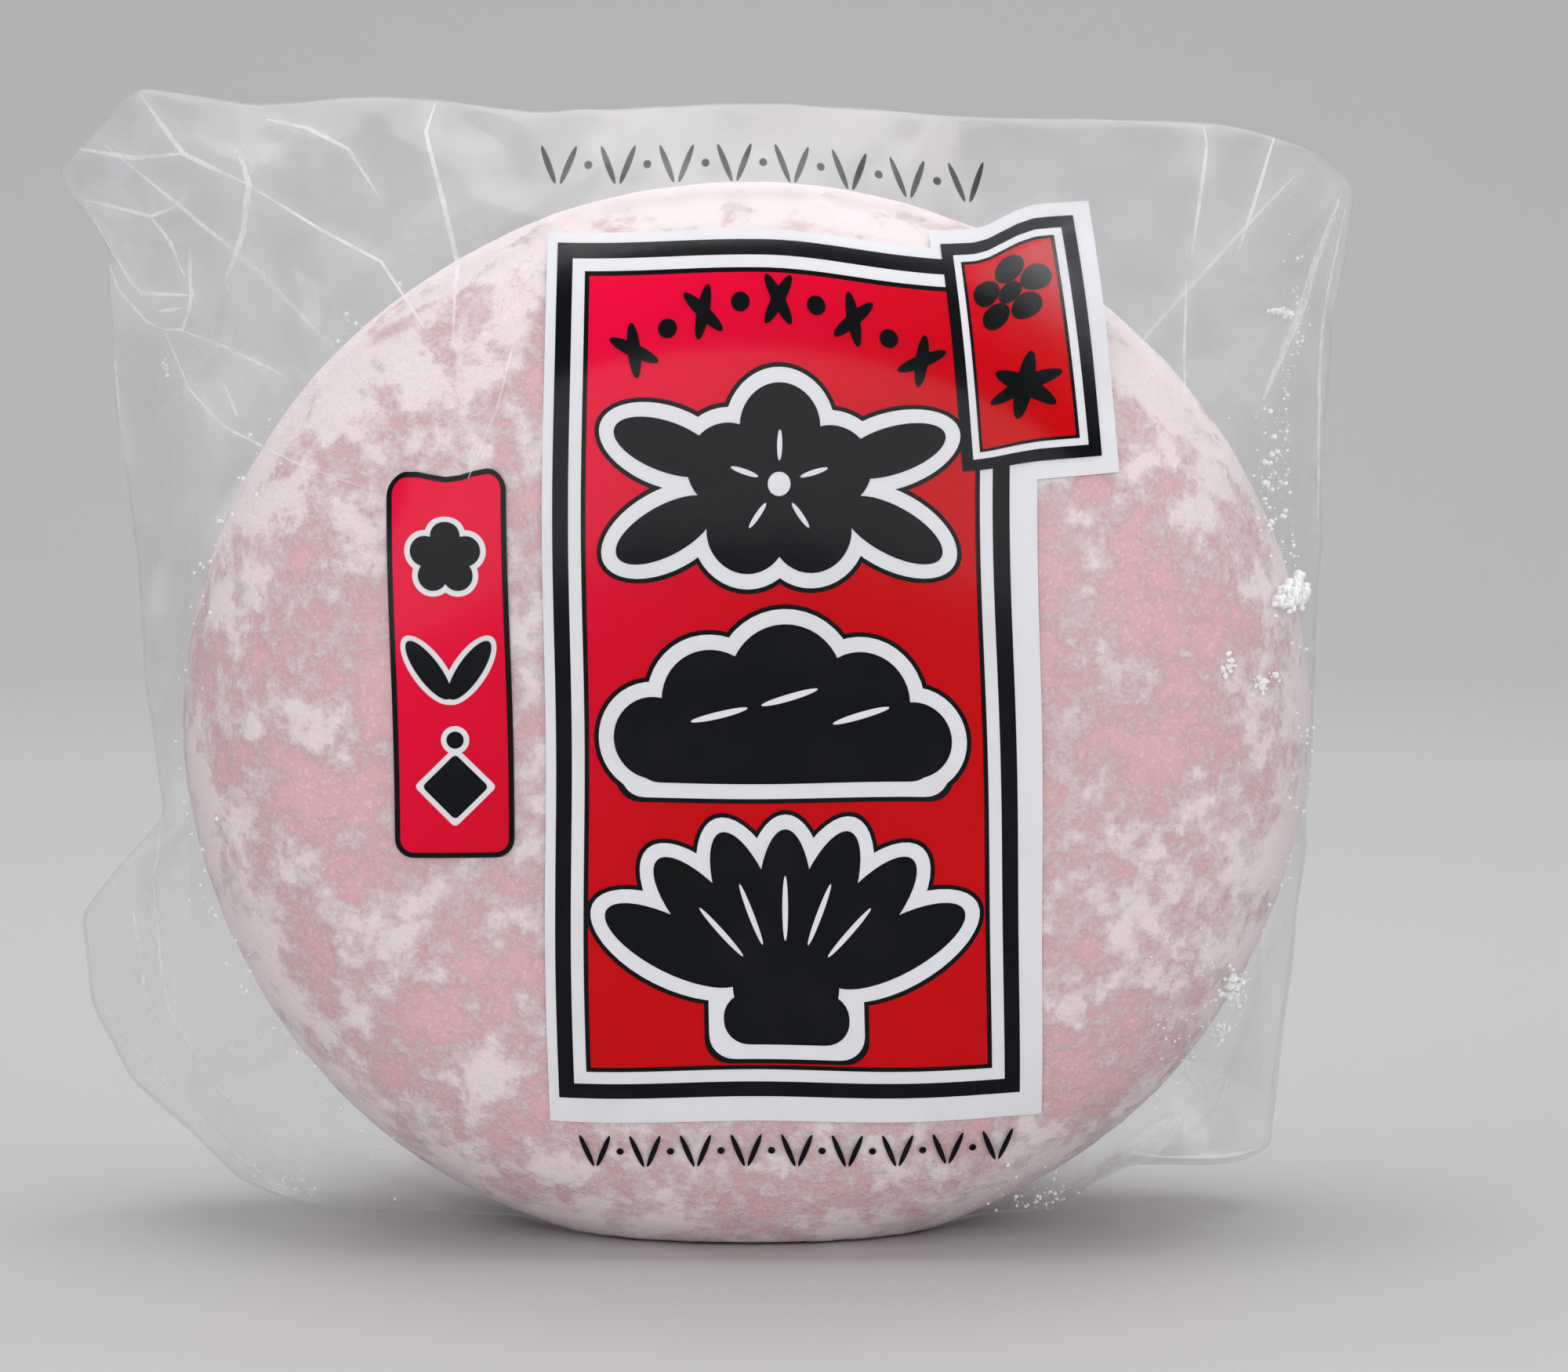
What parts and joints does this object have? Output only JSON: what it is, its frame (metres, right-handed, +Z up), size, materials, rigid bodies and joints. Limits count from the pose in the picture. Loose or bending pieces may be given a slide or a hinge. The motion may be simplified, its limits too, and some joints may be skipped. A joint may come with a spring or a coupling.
{
  "type": "wrapped mochi rice cake",
  "caption": "Round pink rice cake dusted with starch, upright in a crumpled clear film wrap with a red, black and white printed panel.",
  "frame": {"origin": "on the surface the cake stands on, under the middle of the wrap's box", "axes": "+Z up; +X to the right as the printed front is seen; -Y is where the printed front faces"},
  "size_m": [0.085, 0.026, 0.0755],
  "materials": {
    "film": "thin clear crumpled film with a slight haze",
    "mochi": "soft translucent pink rice dough, mottled by a dusting of white starch",
    "starch": "dry white powder in grains and small clumps",
    "ink_red": "thin red ink on film",
    "ink_black": "thin black ink on film",
    "ink_white": "thin white ink on film"
  },
  "bodies": {
    "root": {"wrapped_cake": "film"}
  },
  "joints": []
}
